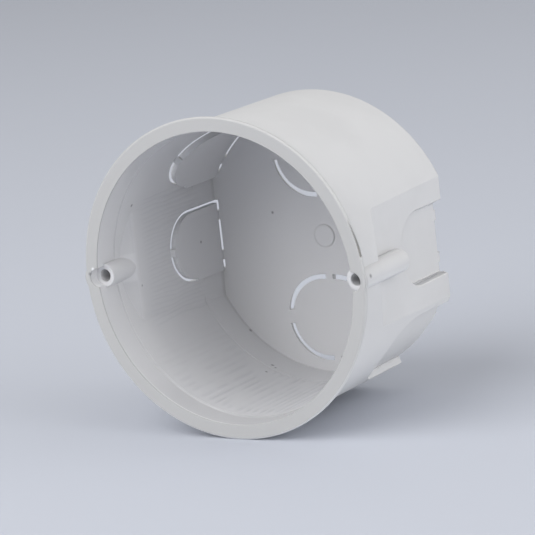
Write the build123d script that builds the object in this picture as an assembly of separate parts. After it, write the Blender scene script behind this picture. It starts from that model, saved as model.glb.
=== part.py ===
from build123d import *
import os
from math import cos, radians, sin

# Flush mounting box for a round wall opening: one moulding, with break-out panels in wall and floor.
# X runs through the two device screw bosses, +Y goes into the wall and +Z is up.
# The origin is on the box's axis, in the plane of the rim's rear face, where it seats on the wall.
# All sizes are in millimetres. Depths below are measured from the rim's front.

os.makedirs("parts", exist_ok=True)

# The cup
screw_spacing = 60.0
box_depth = 42.2
floor_thickness = 1.3
rim_radius = 33.14
rim_thickness = 1.0
rim_edge_bevel = 0.3
body_radius = 31.3
back_edge_round = 1.4
mouth_radius = 30.2
inner_floor_radius = 29.7

# Two fine steps on the inner wall: one near the mouth, one above the plain band at the floor
mouth_step_depth = 6.0
mouth_step = 0.25
band_step_depth = 33.0
band_step = 0.12
step_run = 0.25

# The flats on the left and right side, each reached over a ramp behind the mouth
outer_flat_front = 28.9
outer_flat_back = 28.6
outer_flat_start = 12.2
inner_flat_front = 27.6
inner_flat_back = 26.55
inner_flat_start = 10.6
ramp_angle = 38.0
ramp_round = 2.0

# The wall's break-out panels: a U with its round end to the mouth, set inwards by about its own thickness
flat_panel_angles = (0.0, 180.0)
flat_panel_half_width = 7.7
flat_panel_front = 22.7
flat_panel_outer = 27.0
flat_panel_inner = 26.0
flat_pocket_half_width = 7.05
flat_pocket_taper = 25.0
curved_panel_angles = (136.0, -44.0)
curved_panel_half_width = 8.5
curved_panel_front = 20.2
curved_panel_outer = 29.75
curved_panel_inner = 28.5

# The pocket behind a curved panel is set off from it, and leans out widely towards the nearest flat
curved_pocket_half_width = 7.5
curved_pocket_shift = 0.8
flat_side_slope = 2.4
far_side_slope = 0.48
front_slope = 0.72

# The slots that set the wall's panels free, and the windows along each panel's foot
wall_slot_width = 0.55
wall_web = 1.7
foot_slot_width = 0.2
foot_slot_rise = 0.4
foot_slot_reach = 1.6
foot_slots = ((-7.2, -5.4), (-3.4, 3.4), (5.4, 7.7))

# The floor's break-out panels: two obrounds, each held by four webs
floor_panel_offset = 17.8
floor_panel_radius = 8.9
floor_panel_stretch = 3.0
floor_slot_width = 1.0
floor_slot_flare = 20.0
floor_end_web = 2.9
floor_side_web = 1.7

# The screw bosses stand astride the wall, below the rim
boss_radius = 2.4
boss_offset = 0.2
boss_face_depth = 2.3
boss_cup_radius = 1.95
boss_end_depth = 20.0
boss_end_bevel = 1.0
screw_hole_radius = 1.3
screw_hole_depth = 15.0
rim_bump_radius = 3.32

# Small marks of the mould: the gate on the floor, and a wedge of relief in the rim's edge
gate_mark_radius = 2.4
gate_mark_height = 0.25
relief_angle = 15.5
relief_half_length = 3.9
relief_skin = 0.15
relief_width = 0.7
relief_bottom_radius = 32.0

floor_depth = box_depth - floor_thickness
clear = 5.0


def turned(*points):
    """Turn an outline of (radius, depth) points about the box's axis."""
    return revolve(make_face(Polyline(*points, close=True)), Axis.Y)


def disc(radius, start, end, x=0.0):
    """A cylinder along the box's axis, between two depths."""
    place = Plane(origin=(x, start, 0), z_dir=(0, 1, 0))
    return extrude(place * Circle(radius), end - start)


def radial_plane(angle, distance):
    """A plane that faces outwards at an angle. Its own Y runs into the wall, its X towards smaller angles."""
    a = radians(angle)
    outward = Vector(cos(a), 0, sin(a))
    return Plane(origin=outward * distance, x_dir=(sin(a), 0, -cos(a)), z_dir=outward)


def beyond_flat(front_x, back_x, start):
    """All that lies beyond the flats of both sides: a ramp at the mouth end, then a drafted plane."""
    width = 8.0
    run = width / sin(radians(ramp_angle)) * cos(radians(ramp_angle))
    outline = make_face(Polyline(
        (front_x, start),
        (back_x, box_depth),
        (back_x, box_depth + clear),
        (front_x + width, box_depth + clear),
        (front_x + width, start - run),
        close=True))
    corner = outline.vertices().sort_by_distance((front_x, start))[0]
    block = extrude(fillet(corner, ramp_round), body_radius, both=True)
    return block + block.rotate(Axis.Y, 180)


def u_shape(half_width, centre_depth, end_depth):
    """A panel outline: round towards the mouth, straight towards the floor."""
    straight = end_depth - centre_depth
    leg = Pos(0, centre_depth + straight / 2) * Rectangle(2 * half_width, straight)
    return Pos(0, centre_depth) * Circle(half_width) + leg


def outer_form(panels):
    """The outside of the cup, with its rim, its flats and the pockets behind the wall panels."""
    form = turned(
        (0, 0),
        (rim_radius - rim_edge_bevel, 0),
        (rim_radius, rim_edge_bevel),
        (rim_radius, rim_thickness - rim_edge_bevel),
        (rim_radius - rim_edge_bevel, rim_thickness),
        (body_radius, rim_thickness),
        (body_radius, box_depth),
        (0, box_depth))
    for side in (-1, 1):
        form += disc(rim_bump_radius, 0, rim_thickness, side * screw_spacing / 2)
    form -= beyond_flat(outer_flat_front, outer_flat_back, outer_flat_start)
    for panel in panels:
        form -= panel.pocket()
    return fillet(form.faces().sort_by(Axis.Y)[-1].edges(), back_edge_round)


def core_form():
    """The hollow of the cup, as the core of its mould would fill it."""
    below_step = mouth_radius - mouth_step
    draft = (below_step - inner_floor_radius - band_step) / (floor_depth - mouth_step_depth)
    band_radius = below_step - draft * (band_step_depth - mouth_step_depth)
    core = turned(
        (0, -clear),
        (mouth_radius, -clear),
        (mouth_radius, mouth_step_depth),
        (below_step, mouth_step_depth + step_run),
        (band_radius, band_step_depth),
        (band_radius - band_step, band_step_depth + step_run),
        (inner_floor_radius, floor_depth),
        (0, floor_depth))
    return core - beyond_flat(inner_flat_front, inner_flat_back, inner_flat_start)


class WallPanel:
    """One break-out panel of the wall: raised inside, with a pocket behind it and slots round it."""

    def __init__(self, angle, curved):
        self.angle = angle
        self.curved = curved
        self.half_width = curved_panel_half_width if curved else flat_panel_half_width
        self.centre_depth = self.half_width + (curved_panel_front if curved else flat_panel_front)
        self.inner = curved_panel_inner if curved else flat_panel_inner
        self.outer = curved_panel_outer if curved else flat_panel_outer

    def prism(self, sketch, start, end, taper=0.0):
        return extrude(radial_plane(self.angle, start) * sketch, end - start, taper=taper)

    def raised(self):
        outline = u_shape(self.half_width, self.centre_depth, box_depth)
        if self.curved:
            return self.prism(outline, self.inner - clear, body_radius) - disc(self.inner, 0, box_depth)
        return self.prism(outline, self.inner, outer_flat_back)

    def pocket(self):
        """The hollow behind the panel."""
        end = box_depth + clear
        if not self.curved:
            outline = u_shape(flat_pocket_half_width, self.centre_depth, end)
            return self.prism(outline, self.outer, self.outer + clear, -flat_pocket_taper)
        half = curved_pocket_half_width
        to_flat = clear * flat_side_slope
        to_far = clear * far_side_slope
        wide = half + (to_flat + to_far) / 2
        wide_centre = self.centre_depth - half - clear * front_slope + wide
        bottom = Pos(curved_pocket_shift, 0) * u_shape(half, self.centre_depth, end)
        top = Pos(curved_pocket_shift + (to_far - to_flat) / 2, 0) * u_shape(wide, wide_centre, end)
        bottom = radial_plane(self.angle, self.inner) * bottom
        top = radial_plane(self.angle, self.inner + clear) * top
        return loft([bottom.face(), top.face()], ruled=True) - disc(self.outer, 0, end + clear)

    def wall_slots(self):
        ring = u_shape(self.half_width, self.centre_depth, floor_depth)
        ring -= u_shape(self.half_width - wall_slot_width, self.centre_depth, floor_depth)
        ring -= Pos(0, self.centre_depth - self.half_width) * Rectangle(wall_web, self.half_width)
        ring -= Pos(-self.half_width, self.centre_depth + clear * 2) * Rectangle(self.half_width, clear * 4)
        return self.prism(ring, self.inner - clear, body_radius + 1)

    def foot_slots(self):
        """Windows along the panel's foot, open to the back, that leave webs to the floor."""
        slots = Part()
        top = floor_depth - foot_slot_rise
        for start, end in foot_slots:
            strip = Pos((start + end) / 2, top + clear / 2) * Rectangle(end - start, clear)
            if self.curved:
                cut = self.prism(strip, self.inner - clear, self.inner + foot_slot_reach)
                slots += cut - disc(self.inner - foot_slot_width, 0, box_depth + clear)
            else:
                slots += self.prism(strip, self.inner - foot_slot_width, self.inner + foot_slot_reach)
        return slots


def floor_panel_slots(side):
    """The slot round one floor panel, wider towards the back and broken by four webs."""
    place = Plane(origin=(0, floor_depth, side * floor_panel_offset), x_dir=(1, 0, 0), z_dir=(0, 1, 0))
    around = SlotCenterToCenter(floor_panel_stretch, 2 * floor_panel_radius + floor_slot_width)
    panel = SlotCenterToCenter(floor_panel_stretch, 2 * floor_panel_radius - floor_slot_width)
    webs = Rectangle(4 * floor_panel_radius, floor_end_web) + Rectangle(floor_side_web, 4 * floor_panel_radius)
    ring = extrude(place * around, floor_thickness, taper=-floor_slot_flare)
    ring -= extrude(place * panel, floor_thickness, taper=floor_slot_flare)
    return ring - extrude(place * webs, floor_thickness)


def boss(x):
    """One screw boss, bevelled at its blind end. Outside the wall it reaches up to the rim."""
    post = disc(boss_radius, 0, boss_end_depth, x)
    post = chamfer(post.edges().sort_by(Axis.Y)[-1], boss_end_bevel)
    return post - disc(mouth_radius, -clear, boss_face_depth)


def rim_relief():
    """The wedge-shaped relief in the rim's edge, beside the right-hand boss."""
    wedge = make_face(Polyline(
        (relief_half_length, relief_skin),
        (relief_half_length, relief_skin + relief_width),
        (-relief_half_length, relief_skin),
        close=True))
    return extrude(radial_plane(relief_angle, relief_bottom_radius) * wedge, clear)


def make_box():
    panels = [WallPanel(angle, False) for angle in flat_panel_angles]
    panels += [WallPanel(angle, True) for angle in curved_panel_angles]
    core = core_form()
    for panel in panels:
        core -= panel.raised()
    box = outer_form(panels) - core
    for panel in panels:
        box -= panel.wall_slots()
        box -= panel.foot_slots()
    for side in (-1, 1):
        hole_x = side * screw_spacing / 2
        boss_x = hole_x + side * boss_offset
        box += boss(boss_x)
        box -= disc(boss_cup_radius, -clear, boss_face_depth, boss_x)
        box -= disc(screw_hole_radius, 0, boss_face_depth + screw_hole_depth, hole_x)
        box -= floor_panel_slots(side)
    box += disc(gate_mark_radius, floor_depth - gate_mark_height, floor_depth)
    box -= rim_relief()
    return Pos(0, -rim_thickness, 0) * box


box_body = make_box()
print("solids", len(box_body.solids()), "valid", box_body.is_valid, "volume", round(box_body.volume))
export_step(box_body, "parts/box_body.step")
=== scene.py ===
import math
import bmesh
import bpy
from mathutils import Matrix, Vector


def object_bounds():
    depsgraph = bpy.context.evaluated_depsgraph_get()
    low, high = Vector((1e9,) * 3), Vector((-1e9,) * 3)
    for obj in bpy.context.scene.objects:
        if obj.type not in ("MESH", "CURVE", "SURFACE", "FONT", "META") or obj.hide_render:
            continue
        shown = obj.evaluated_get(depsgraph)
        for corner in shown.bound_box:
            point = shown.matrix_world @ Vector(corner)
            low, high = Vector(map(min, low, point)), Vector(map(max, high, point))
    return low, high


# Flush mounting box, one light grey moulding. Sizes are in metres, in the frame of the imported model:
# +Y goes into the wall, the rim's rear face lies in y = 0, and +Z is up.
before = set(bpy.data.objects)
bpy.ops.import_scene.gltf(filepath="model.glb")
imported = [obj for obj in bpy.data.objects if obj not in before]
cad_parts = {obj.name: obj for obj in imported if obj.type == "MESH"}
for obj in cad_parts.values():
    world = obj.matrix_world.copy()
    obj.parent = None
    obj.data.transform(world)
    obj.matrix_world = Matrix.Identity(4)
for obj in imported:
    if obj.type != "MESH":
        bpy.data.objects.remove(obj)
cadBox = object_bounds()
mm = 0.001


def srgb(red, green, blue):  # 0 to 255, as a screen shows it, to Blender's linear colour
    parts = []
    for value in (red, green, blue):
        share = value / 255
        parts.append(share / 12.92 if share <= 0.04045 else ((share + 0.055) / 1.055) ** 2.4)
    return (*parts, 1.0)


class Wire:  # one socket's value, so that shader maths reads as plain Python
    def __init__(self, tree, socket):
        self.tree = tree
        self.socket = socket

    def maths(self, operation, first, second=None):
        node = self.tree.nodes.new("ShaderNodeMath")
        node.operation = operation
        for place, value in enumerate((first, second)):
            if isinstance(value, Wire):
                self.tree.links.new(value.socket, node.inputs[place])
            elif value is not None:
                node.inputs[place].default_value = value
        return Wire(self.tree, node.outputs[0])

    def __add__(self, other):
        return self.maths("ADD", self, other)

    def __radd__(self, other):
        return self.maths("ADD", other, self)

    def __sub__(self, other):
        return self.maths("SUBTRACT", self, other)

    def __rsub__(self, other):
        return self.maths("SUBTRACT", other, self)

    def __mul__(self, other):
        return self.maths("MULTIPLY", self, other)

    def __rmul__(self, other):
        return self.maths("MULTIPLY", other, self)

    def __pow__(self, other):
        return self.maths("POWER", self, other)

    def __abs__(self):
        return self.maths("ABSOLUTE", self)

    def angle(self, other):
        return self.maths("ARCTAN2", self, other)

    def highest(self, other):
        return self.maths("MAXIMUM", self, other)


class Finish:  # a material and the one method that adds its nodes
    def __init__(self, name):
        self.material = bpy.data.materials.new(name)
        self.material.use_nodes = True
        self.tree = self.material.node_tree
        self.tree.nodes.clear()

    def node(self, kind, settings=None, sockets=None, output=0):
        made = self.tree.nodes.new(kind)
        for name, value in (settings or {}).items():
            setattr(made, name, value)
        for name, value in (sockets or {}).items():
            if isinstance(value, Wire):
                self.tree.links.new(value.socket, made.inputs[name])
            else:
                made.inputs[name].default_value = value
        return Wire(self.tree, made.outputs[output])

    def ease(self, value, start, end):  # 0 at start, 1 at end, smooth between them
        return self.node("ShaderNodeMapRange", {"interpolation_type": "SMOOTHSTEP"},
                         {"Value": value, "From Min": start, "From Max": end})

    def near(self, value, middle, band):  # 0 past the first distance from the middle, 1 within the second
        return self.ease(abs(value - middle), *band)

    def axes(self, vector):
        return [self.node("ShaderNodeSeparateXYZ", sockets={0: vector}, output=axis) for axis in range(3)]

    def blend(self, factor, first, second):
        return self.node("ShaderNodeMix", {"data_type": "RGBA"},
                         {0: factor, 6: first, 7: second}, 2)

    def surface(self, shader):
        out = self.tree.nodes.new("ShaderNodeOutputMaterial")
        self.tree.links.new(shader.socket, out.inputs["Surface"])
        return self.material


# In the tables below a pair is where a mask begins and where it is full.
masks = {
    "depthWeight": 12 * mm,  # what a face that looks along the axis counts, beside its distance from it
    "inner": (-1 * mm, -4 * mm),
    "outer": (1 * mm, 4 * mm),
    "behindRim": (-0.9 * mm, -0.6 * mm),
    "offBoss": (2.6 * mm, 3.2 * mm),
}

plastic = {
    "colour": srgb(201, 201, 202),
    "shade": srgb(197, 197, 198),
    # painted light: the inside of the cup is lighter than the outside
    "within": srgb(206, 206, 208),
    "roughness": 0.55,
    "roughnessSwing": 0.15,
    "gloss": 0.35,
    "ior": 1.5,
    "cloudScale": 60.0,  # all scales are per metre
    "cloudDetail": 3.0,
    "cloudBand": (0.35, 0.65),
    "grainScale": 1500.0,
    "grainDetail": 2.0,
    "grainDepth": 0.004 * mm,
}

toolMarks = {  # left in the core of the mould, and so on the inside of the cup
    "wallScale": 175.0,
    "wallWave": 5.5,
    "wallDetail": 3.0,
    "wallDetailScale": 1.2,
    "wallStretch": 0.012,  # the smaller, the longer the lines
    "wallRadius": 29.8 * mm,
    "wallDepth": 0.12 * mm,
    "wallStart": (6 * mm, 9 * mm),
    "wallEnd": (32 * mm, 31 * mm),
    "wallSides": (25.5 * mm, 24 * mm),
    "wallTop": (-8 * mm, -14 * mm),
    "wallMiddle": -1.55,  # angle round the axis where they are strongest
    "wallReach": (1.15, 0.3),
    "wallTinted": (0.2, -0.5),
    "wallShare": 0.75,
    "patchScale": 150.0,
    "patchDetail": 1.0,
    "patchBand": (0.3, 0.6),
    "flatScale": 330.0,
    "flatWave": 5.0,
    "flatDetail": 2.0,
    "flatSway": 2 * mm,
    "flatStretch": 0.22,
    "flatDepth": 0.03 * mm,
    "flatSide": (26.35 * mm, 26.5 * mm),  # the panels stand further in and stay bare
    "flatStart": (12 * mm, 15 * mm),
    "flatEnd": (36 * mm, 30 * mm),
    "flatTinted": (0.1, -0.5),
    "flatShare": 0.4,
    # painted shade along the tool-mark lines, over their bump
    "tint": 0.4,
    "lineShadeColour": srgb(175, 177, 182),
}

sinkMarks = {  # shallow, beside the outer side of each boss
    "scale": 230.0,
    "detail": 1.0,
    "depth": 0.05 * mm,
    "side": (28.0 * mm, 28.5 * mm),
    "height": (9 * mm, 2 * mm),
    "start": (3 * mm, 7 * mm),
    "end": (22 * mm, 16 * mm),
}

softening = {  # how far the edges look rounded
    "edge": 0.2 * mm,
    "most": 0.6 * mm,
    "samples": 6,
    "stepDepth": 5.1 * mm,
    "stepBand": (2 * mm, 1 * mm),
    "gateDepth": (39 * mm, 39.5 * mm),
    "gateRadius": (3.4 * mm, 2.8 * mm),
    "bossHeight": (3.4 * mm, 2.8 * mm),
    "bossDepth": (3 * mm, 2 * mm),
    "bossRadius": (27 * mm, 27.5 * mm),
    "bossShare": 0.5,
}

paintedShadeTones = {  # painted shade on the steps, the lower mouth, the left part of the floor and the ramps
    "colour": srgb(176, 176, 178),
    "stepBand": (0.3 * mm, 0.1 * mm),
    "mouthStep": 5.12 * mm,
    "mouthStepShare": 0.85,
    "mouthStepTop": (-12 * mm, 4 * mm),
    "topLess": 0.45,
    "mouthStepLeft": (-30 * mm, -38 * mm),
    "leftLess": 0.3,
    "bandStep": 32.12 * mm,
    "bandStepShare": 0.4,
    "roundWall": (29.2 * mm, 29.5 * mm),
    "mouth": (5.0 * mm, 4.8 * mm),
    "mouthBottom": (-18 * mm, -28 * mm),
    "mouthShare": 0.45,
    "floor": (39.0 * mm, 39.5 * mm),
    "floorLeft": (-6 * mm, -26 * mm),
    "floorShare": 0.35,
    "rampFacing": (-0.3, -0.5),
    "rampStart": (6 * mm, 7 * mm),
    "rampEnd": (15 * mm, 14 * mm),
    "rampShare": 0.3,
}

paintedLightTones = {  # painted light on the rim's inner edge, the wall by the left-hand boss and the right edge of the gate
    "colour": srgb(216, 216, 217),
    "edgeDepth": -0.6 * mm,
    "edgeBand": (0.3 * mm, 0.15 * mm),
    "edgeBelow": (-5 * mm, -20 * mm),
    "wallLeft": (-16 * mm, -28 * mm),
    "wallDepth": (14 * mm, 8 * mm),
    "wallFacing": (-0.3, -0.1),
    "wallShare": 0.6,
    "gateDepth": (39.5 * mm, 39.6 * mm),
    "gateRadius": 2.5 * mm,
    "gateBand": (0.4 * mm, 0.15 * mm),
    "gateRight": (-1.5 * mm, 1 * mm),
}

# painted shade on the rim's front face and outer edge, painted light in the relief slit
rimShadeAndLight = {
    "depth": (-0.75 * mm, -0.85 * mm),
    # painted shade: the rim's front face is darker than the body
    "colour": srgb(178, 178, 178),
    # painted shade over the glint on the rim's outer edge
    "edgeColour": srgb(184, 184, 184),
    "edgeRadius": (32.6 * mm, 32.9 * mm),
    "edgeDepth": (0.1 * mm, -0.1 * mm),
    "edgeShare": 0.8,
    # painted light, with an olive tint, in the relief slit behind the rim
    "reliefColour": srgb(222, 217, 200),
    "reliefTop": (32.7 * mm, 32.5 * mm),
    "reliefBottom": (31.8 * mm, 31.9 * mm),
    "reliefDepth": -0.5 * mm,
    "reliefDepthBand": (0.45 * mm, 0.38 * mm),
    "reliefAngle": 0.27,
    "reliefAngleBand": (0.15, 0.13),
}

cornerShade = {  # painted shade where a flat meets the floor, above and below the left-hand panel
    "colour": srgb(196, 196, 197),
    "side": (-25 * mm, -26 * mm),
    "depth": (38.7 * mm, 39.3 * mm),
    "low": (7.4 * mm, 7.7 * mm),
    "high": (15 * mm, 14 * mm),
}

outerPaintedLight = {  # painted light on undersides, and on creases that face up on the right-hand side
    "belowColour": srgb(219, 219, 219),
    "belowFacing": (-0.12, -0.7),
    "creaseColour": srgb(222, 222, 222),
    "creaseFacing": (0.4, 0.7),
    "creaseSide": (26 * mm, 26.5 * mm),
    "creaseRadius": (31.25 * mm, 30.9 * mm),
    "creaseByBoss": (4 * mm, 3 * mm),
    "bossLess": 0.75,
}

specks = {  # place and radius in millimetres, of grit and bright nicks in the surface
    "grit": ((-26.98, 9.34, 13.00, 0.22), (-27.40, 10.51, -4.27, 0.18), (-26.00, 31.80, 0.23, 0.2),
             (-21.04, 39.42, -21.03, 0.25), (-12.56, 33.42, -27.02, 0.25), (-11.62, 33.02, -27.44, 0.18),
             (-11.84, 29.71, -27.35, 0.2), (-32.13, -1.0, 0.82, 0.25), (-12.35, 39.9, 4.94, 0.2),
             (32.56, 2.47, 0.44, 0.28)),
    "nicks": ((-31.23, -1.0, 1.78, 0.25), (-25.72, 39.9, 13.03, 0.25)),
    "spread": (2.3 * mm, 0.4 * mm),  # times the radius
    "gritColour": srgb(138, 138, 140),
    "nickColour": srgb(236, 236, 238),
}


def spotMask(skin, spots):
    mask = None
    outer, inner = specks["spread"]
    for x, y, z, radius in spots:
        away = skin.node("ShaderNodeVectorMath", {"operation": "DISTANCE"},
                         {0: skin.place, 1: (x * mm, y * mm, z * mm)}, 1)
        spot = skin.ease(away, radius * outer, radius * inner)
        mask = spot if mask is None else mask.highest(spot)
    return mask


class BoxSkin(Finish):  # the plastic, with the box's own directions and the masks they give
    def __init__(self, name):
        super().__init__(name)
        self.place = self.node("ShaderNodeTexCoord", output=3)
        self.x, self.y, self.z = self.axes(self.place)
        self.radius = (self.x * self.x + self.z * self.z) ** 0.5
        self.angle = self.z.angle(self.x)
        facingX, self.facingY, self.facingZ = self.axes(self.node("ShaderNodeTexCoord", output=1))
        outward = self.x * facingX + self.z * self.facingZ + self.facingY * masks["depthWeight"]
        self.outside = self.ease(outward, *masks["outer"])
        self.inside = self.ease(outward, *masks["inner"]) * self.ease(self.y, *masks["behindRim"])
        self.offBoss = self.ease(abs(self.z), *masks["offBoss"])
        self.cloud = self.node("ShaderNodeTexNoise", sockets={
            "Vector": self.place, "Scale": plastic["cloudScale"], "Detail": plastic["cloudDetail"]})


def wallLines(skin):  # fine lines along the draw of the mould, round the lower wall
    along = skin.node("ShaderNodeCombineXYZ", sockets={
        0: skin.angle * toolMarks["wallRadius"], 1: skin.y * toolMarks["wallStretch"]})
    lines = skin.node("ShaderNodeTexWave", {"bands_direction": "X"}, {
        "Vector": along, "Scale": toolMarks["wallScale"], "Distortion": toolMarks["wallWave"],
        "Detail": toolMarks["wallDetail"], "Detail Scale": toolMarks["wallDetailScale"]}, 1) - 0.5
    patches = skin.node("ShaderNodeTexNoise", sockets={
        "Vector": skin.place, "Scale": toolMarks["patchScale"], "Detail": toolMarks["patchDetail"]})
    mask = (skin.inside * skin.ease(skin.y, *toolMarks["wallStart"]) * skin.ease(skin.y, *toolMarks["wallEnd"])
            * skin.ease(abs(skin.x), *toolMarks["wallSides"]) * skin.ease(skin.z, *toolMarks["wallTop"])
            * skin.near(skin.angle, toolMarks["wallMiddle"], toolMarks["wallReach"])
            * skin.ease(patches, *toolMarks["patchBand"]))
    return lines, mask


def flatWaves(skin):  # wavy cutter marks on the flats
    across = skin.node("ShaderNodeCombineXYZ", sockets={
        0: skin.z + skin.cloud * toolMarks["flatSway"], 1: skin.y * toolMarks["flatStretch"]})
    waves = skin.node("ShaderNodeTexWave", {"bands_direction": "X"}, {
        "Vector": across, "Scale": toolMarks["flatScale"], "Distortion": toolMarks["flatWave"],
        "Detail": toolMarks["flatDetail"]}, 1) - 0.5
    mask = (skin.inside * skin.ease(abs(skin.x), *toolMarks["flatSide"])
            * skin.ease(skin.y, *toolMarks["flatStart"]) * skin.ease(skin.y, *toolMarks["flatEnd"]))
    return waves, mask


def sinkHeight(skin):
    sinks = skin.node("ShaderNodeTexNoise", sockets={
        "Vector": skin.place, "Scale": sinkMarks["scale"], "Detail": sinkMarks["detail"]})
    byBoss = (skin.ease(abs(skin.x), *sinkMarks["side"]) * skin.ease(abs(skin.z), *sinkMarks["height"])
              * skin.ease(skin.y, *sinkMarks["start"]) * skin.ease(skin.y, *sinkMarks["end"]))
    return byBoss * (sinks - 0.5) * sinkMarks["depth"]


def softNormal(skin):
    byStep = skin.inside * skin.near(skin.y, softening["stepDepth"], softening["stepBand"])
    byGate = skin.ease(skin.y, *softening["gateDepth"]) * skin.ease(skin.radius, *softening["gateRadius"])
    byBoss = (skin.ease(abs(skin.z), *softening["bossHeight"]) * skin.ease(skin.y, *softening["bossDepth"])
              * skin.ease(skin.radius, *softening["bossRadius"]))
    more = byStep.highest(byGate).highest(byBoss * softening["bossShare"])
    edge = softening["edge"] + more * (softening["most"] - softening["edge"])
    return skin.node("ShaderNodeBevel", {"samples": softening["samples"]}, {"Radius": edge})


# painted shade on the inside steps, the lower mouth, the left part of the floor and the ramps
def paintedShadeMask(skin):
    less = (skin.ease(skin.z, *paintedShadeTones["mouthStepTop"]) * paintedShadeTones["topLess"]
            + skin.ease(skin.x + skin.z, *paintedShadeTones["mouthStepLeft"]) * paintedShadeTones["leftLess"])
    mouthStep = (skin.near(skin.y, paintedShadeTones["mouthStep"], paintedShadeTones["stepBand"]) * skin.offBoss
                 * (paintedShadeTones["mouthStepShare"] - less))
    bandStep = skin.near(skin.y, paintedShadeTones["bandStep"], paintedShadeTones["stepBand"]) * paintedShadeTones["bandStepShare"]
    mouth = (skin.ease(skin.y, *paintedShadeTones["mouth"]) * skin.ease(skin.z, *paintedShadeTones["mouthBottom"])
             * paintedShadeTones["mouthShare"])
    floor = (skin.ease(skin.y, *paintedShadeTones["floor"]) * skin.ease(skin.x, *paintedShadeTones["floorLeft"])
             * paintedShadeTones["floorShare"])
    ramp = (skin.ease(skin.facingY, *paintedShadeTones["rampFacing"]) * skin.ease(skin.y, *paintedShadeTones["rampStart"])
            * skin.ease(skin.y, *paintedShadeTones["rampEnd"]) * skin.offBoss * paintedShadeTones["rampShare"])
    steps = mouthStep.highest(bandStep) * skin.ease(skin.radius, *paintedShadeTones["roundWall"])
    return skin.inside * steps.highest(mouth).highest(floor).highest(ramp)


# painted light: a highlight on the rim's inner edge, a lit wall by the left-hand boss and a lit right edge of
# the gate
def paintedLightMask(skin):
    edge = (skin.near(skin.y, paintedLightTones["edgeDepth"], paintedLightTones["edgeBand"])
            * skin.ease(skin.z, *paintedLightTones["edgeBelow"]))
    wall = (skin.ease(skin.x, *paintedLightTones["wallLeft"]) * skin.ease(skin.y, *paintedLightTones["wallDepth"])
            * skin.ease(skin.facingY, *paintedLightTones["wallFacing"]) * paintedLightTones["wallShare"])
    gate = (skin.ease(skin.y, *paintedLightTones["gateDepth"])
            * skin.near(skin.radius, paintedLightTones["gateRadius"], paintedLightTones["gateBand"])
            * skin.ease(skin.x, *paintedLightTones["gateRight"]))
    return skin.inside * edge.highest(wall).highest(gate)


# painted shade in the corners where a flat meets the floor
def cornerShadeMask(skin):
    return (skin.inside * skin.ease(skin.x, *cornerShade["side"]) * skin.ease(skin.y, *cornerShade["depth"])
            * skin.ease(abs(skin.z), *cornerShade["low"]) * skin.ease(abs(skin.z), *cornerShade["high"]))


# painted shade over the glint on the rim's outer edge
def rimEdgeShadeMask(skin):
    return (skin.ease(skin.radius, *rimShadeAndLight["edgeRadius"]) * skin.ease(skin.y, *rimShadeAndLight["edgeDepth"])
            * rimShadeAndLight["edgeShare"])


# painted light in the relief slit behind the rim
def reliefLightMask(skin):
    return (skin.ease(skin.radius, *rimShadeAndLight["reliefTop"]) * skin.ease(skin.radius, *rimShadeAndLight["reliefBottom"])
            * skin.near(skin.y, rimShadeAndLight["reliefDepth"], rimShadeAndLight["reliefDepthBand"])
            * skin.near(skin.angle, rimShadeAndLight["reliefAngle"], rimShadeAndLight["reliefAngleBand"]))


# painted light on creases that face up on the right-hand side
def creaseLightMask(skin):
    byBoss = skin.ease(abs(skin.z), *outerPaintedLight["creaseByBoss"]) * outerPaintedLight["bossLess"]
    return (skin.outside * skin.ease(skin.facingZ, *outerPaintedLight["creaseFacing"])
            * skin.ease(skin.x, *outerPaintedLight["creaseSide"])
            * skin.ease(skin.radius, *outerPaintedLight["creaseRadius"]) * (1 - byBoss))


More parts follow.
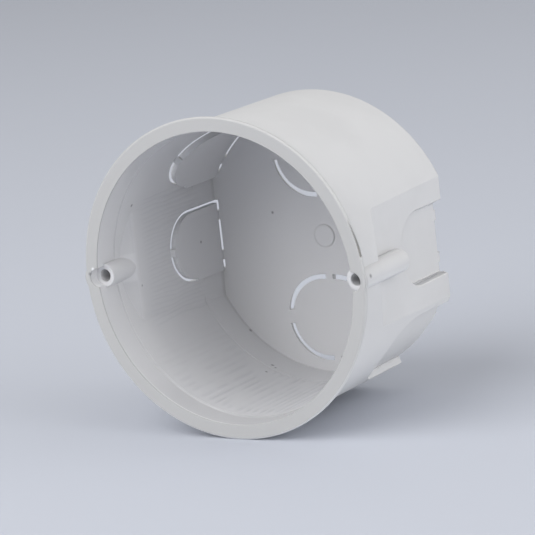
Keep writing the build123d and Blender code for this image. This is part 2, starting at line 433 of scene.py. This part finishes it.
def makePlastic():
    skin = BoxSkin("mouldedPlastic")
    lines, onWall = wallLines(skin)
    waves, onFlat = flatWaves(skin)
    grain = skin.node("ShaderNodeTexNoise", sockets={
        "Vector": skin.place, "Scale": plastic["grainScale"], "Detail": plastic["grainDetail"]})
    height = (onWall * lines * toolMarks["wallDepth"] + onFlat * waves * toolMarks["flatDepth"]
              + sinkHeight(skin) + (grain - 0.5) * plastic["grainDepth"])
    bump = skin.node("ShaderNodeBump", sockets={
        "Height": height, "Strength": 1.0, "Distance": 1.0, "Normal": softNormal(skin)})
    # painted shade that follows the tool-mark lines
    toolMarkShade = (onWall * skin.ease(lines, *toolMarks["wallTinted"]) * toolMarks["wallShare"]
            + onFlat * skin.ease(waves, *toolMarks["flatTinted"]) * toolMarks["flatShare"])
    # painted light on the undersides
    below = skin.outside * skin.ease(skin.facingZ, *outerPaintedLight["belowFacing"])
    colour = skin.blend(skin.ease(skin.cloud, *plastic["cloudBand"]), plastic["colour"], plastic["shade"])
    for mask, tone in (  # each lies over the ones before it
            # painted light over the inside of the cup
            (skin.inside, plastic["within"]),
            # painted shade
            (paintedShadeMask(skin), paintedShadeTones["colour"]),
            # painted light
            (paintedLightMask(skin), paintedLightTones["colour"]),
            # painted shade along the tool marks
            (toolMarkShade * toolMarks["tint"], toolMarks["lineShadeColour"]),
            # painted shade on the rim's front face
            (skin.ease(skin.y, *rimShadeAndLight["depth"]), rimShadeAndLight["colour"]),
            # painted shade in the corners
            (cornerShadeMask(skin), cornerShade["colour"]),
            # painted shade on the rim's outer edge
            (rimEdgeShadeMask(skin), rimShadeAndLight["edgeColour"]),
            # painted light on the undersides and on up-facing creases
            (below, outerPaintedLight["belowColour"]),
            (creaseLightMask(skin), outerPaintedLight["creaseColour"]),
            # painted light in the relief slit
            (reliefLightMask(skin), rimShadeAndLight["reliefColour"]),
            (spotMask(skin, specks["grit"]), specks["gritColour"]),
            (spotMask(skin, specks["nicks"]), specks["nickColour"])):
        colour = skin.blend(mask, colour, tone)
    shader = skin.node("ShaderNodeBsdfPrincipled", sockets={
        "Base Color": colour,
        "Roughness": plastic["roughness"] + (skin.cloud - 0.5) * plastic["roughnessSwing"],
        "Normal": bump,
        "IOR": plastic["ior"],
        "Specular IOR Level": plastic["gloss"],
    })
    return skin.surface(shader)


def dressBox():
    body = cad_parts["box_body"]
    body.data.materials.clear()
    body.data.materials.append(makePlastic())
    print("box dressed")


ground = {
    "size": 8.0,
    "cells": 8,
    "colour": srgb(188, 192, 202),
    "roughness": 0.8,
    "roughnessSwing": 0.1,
    "fibreScale": 40.0,
    "fibreDetail": 4.0,
}


def makeGround():
    mesh = bpy.data.meshes.new("ground")
    form = bmesh.new()
    bmesh.ops.create_grid(form, x_segments=ground["cells"], y_segments=ground["cells"],
                          size=ground["size"] / 2)
    bmesh.ops.translate(form, verts=form.verts, vec=(0, 0, cadBox[0][2]))
    form.to_mesh(mesh)
    form.free()
    floor = bpy.data.objects.new("ground", mesh)
    bpy.context.scene.collection.objects.link(floor)
    paper = Finish("groundPaper")
    place = paper.node("ShaderNodeTexCoord", output=3)
    fibre = paper.node("ShaderNodeTexNoise", sockets={
        "Vector": place, "Scale": ground["fibreScale"], "Detail": ground["fibreDetail"]})
    shader = paper.node("ShaderNodeBsdfPrincipled", sockets={
        "Base Color": ground["colour"],
        "Roughness": ground["roughness"] + (fibre - 0.5) * ground["roughnessSwing"],
    })
    mesh.materials.append(paper.surface(shader))
    print("ground laid")


view = {
    "azimuth": 32.80,
    "elevation": 11.40,
    "roll": -6.49,
    "target": (-2.36 * mm, 20.0 * mm, -2.34 * mm),
    "distance": 0.63412,
    "lens": 206.93,
    "sensor": 36.0,
    "clipStart": 0.01,
}


def placeCamera():
    azimuth = math.radians(view["azimuth"])
    elevation = math.radians(view["elevation"])
    look = Vector((-math.sin(azimuth) * math.cos(elevation), math.cos(azimuth) * math.cos(elevation),
                   -math.sin(elevation)))
    turn = look.to_track_quat("-Z", "Y") @ Matrix.Rotation(math.radians(view["roll"]), 3, "Z").to_quaternion()
    camera = bpy.data.objects.new("camera", bpy.data.cameras.new("camera"))
    camera.data.lens = view["lens"]
    camera.data.sensor_width = view["sensor"]
    camera.data.clip_start = view["clipStart"]
    camera.location = Vector(view["target"]) - look * view["distance"]
    camera.rotation_mode = "QUATERNION"
    camera.rotation_quaternion = turn
    bpy.context.scene.collection.objects.link(camera)
    bpy.context.scene.camera = camera
    print("camera placed")


studio = {
    "distance": 1.2,
    "size": 1.4,
    "skyColour": (1.0, 1.0, 1.0, 1.0),
    "skyStrength": 0.45,
    "lamps": {  # name: (azimuth seen from the box, elevation, watts)
        "key": (-25, 40, 13.1),
        "right": (90, 10, 9.6),
        "rightTop": (100, 50, 2.0),
        "rightFront": (60, 10, 2.5),
        "left": (-100, 40, 1.2),
        "front": (0, 10, 1.1),
    },
}


def lightStudio():
    for name, (azimuth, elevation, watts) in studio["lamps"].items():
        turn = math.radians(azimuth)
        rise = math.radians(elevation)
        toLamp = Vector((math.sin(turn) * math.cos(rise), -math.cos(turn) * math.cos(rise), math.sin(rise)))
        lamp = bpy.data.objects.new(name, bpy.data.lights.new(name, "AREA"))
        lamp.data.shape = "DISK"
        lamp.data.size = studio["size"]
        lamp.data.energy = watts
        lamp.location = toLamp * studio["distance"]
        lamp.rotation_mode = "QUATERNION"
        lamp.rotation_quaternion = (-toLamp).to_track_quat("-Z", "Y")
        bpy.context.scene.collection.objects.link(lamp)
    world = bpy.data.worlds.new("studio")
    world.use_nodes = True
    sky = world.node_tree.nodes["Background"].inputs
    sky["Color"].default_value = studio["skyColour"]
    sky["Strength"].default_value = studio["skyStrength"]
    bpy.context.scene.world = world
    bpy.context.scene.view_settings.view_transform = "Standard"
    print("studio lit")


placeCamera()
dressBox()
makeGround()
lightStudio()
